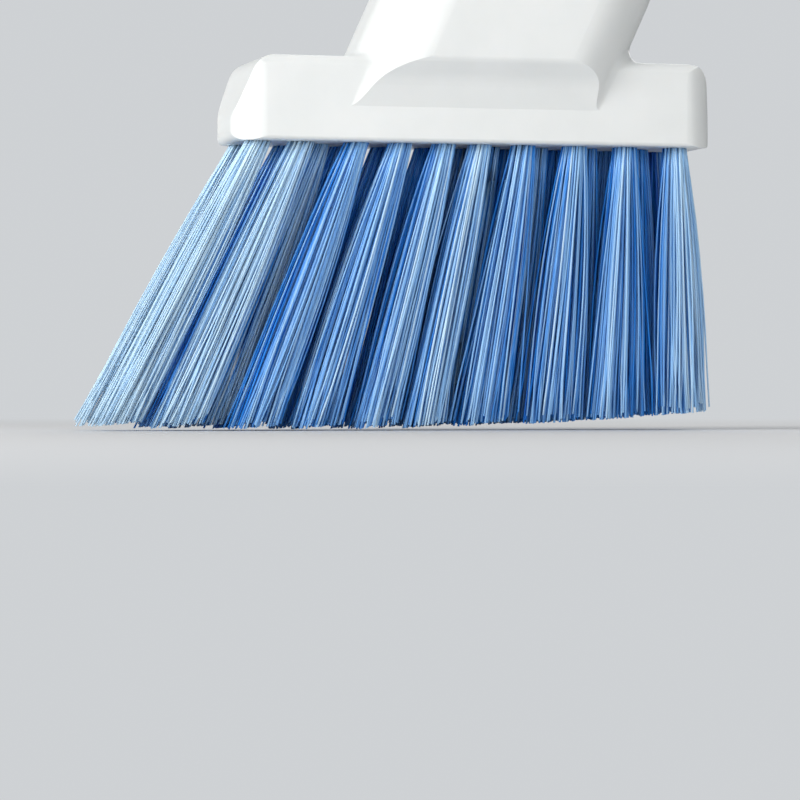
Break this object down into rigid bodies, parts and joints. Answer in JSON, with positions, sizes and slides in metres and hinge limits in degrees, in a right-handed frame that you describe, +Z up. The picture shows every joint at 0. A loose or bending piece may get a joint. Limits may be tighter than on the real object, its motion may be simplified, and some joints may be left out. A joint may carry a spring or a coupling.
{
  "type": "bee brush",
  "caption": "Hand-held bee brush with a hollow white water-holding handle, blue filament tufts that lean to one side, a water outlet and a screw cap with a hanging eye.",
  "frame": {"origin": "Middle of the brush's bounding box in plan, at the level of the lowest filament tips, on which the brush stands upright.", "axes": "+Z up from the filament tips to the handle; X along the block, with the handle leaning to +X and the tips trailing to -X; the front faces -Y."},
  "size_m": [0.1848, 0.038, 0.2651],
  "materials": {
    "white_plastic": "moulded semi-gloss white",
    "plate_plastic": "drilled white plastic",
    "blue_filament": "drawn synthetic filament, blue",
    "anchor_steel": "flat drawn wire",
    "collar_plastic": "moulded white",
    "cap_plastic": "moulded white, fine grain",
    "seal_rubber": "soft black"
  },
  "bodies": {
    "handle": {"front_shell": "white_plastic", "rear_cover": "white_plastic", "tuft_plate": "plate_plastic", "anchor_staples": "anchor_steel", "filler_collar": "collar_plastic", "tuft_front_01": "blue_filament", "tuft_rear_01": "blue_filament", "tuft_front_02": "blue_filament", "tuft_rear_02": "blue_filament", "tuft_front_03": "blue_filament", "tuft_rear_03": "blue_filament", "tuft_front_04": "blue_filament", "tuft_rear_04": "blue_filament", "tuft_front_05": "blue_filament", "tuft_rear_05": "blue_filament", "tuft_front_06": "blue_filament", "tuft_rear_06": "blue_filament", "tuft_front_07": "blue_filament", "tuft_rear_07": "blue_filament", "tuft_front_08": "blue_filament", "tuft_rear_08": "blue_filament", "tuft_front_09": "blue_filament", "tuft_rear_09": "blue_filament", "tuft_front_10": "blue_filament", "tuft_rear_10": "blue_filament", "tuft_middle_01": "blue_filament", "tuft_middle_02": "blue_filament", "tuft_middle_03": "blue_filament", "tuft_middle_04": "blue_filament", "tuft_middle_05": "blue_filament"},
    "gasket": {"cap_gasket": "seal_rubber"},
    "cap": {"screw_cap": "cap_plastic"}
  },
  "joints": [
    {"name": "cap_lift", "type": "slide", "parent": "handle", "child": "gasket", "axis": [0.4147, 0, 0.91], "range_m": [0, 0.008]},
    {"name": "cap_turn", "type": "hinge", "parent": "gasket", "child": "cap", "pos_m": [0.07288, 0, 0.23317], "axis": [0.4147, 0, 0.91], "range_deg": [0, 720]}
  ],
  "couplings": [
    {"joint": "cap_lift", "follows": "cap_turn", "m_per_rad": 0.00063662}
  ]
}
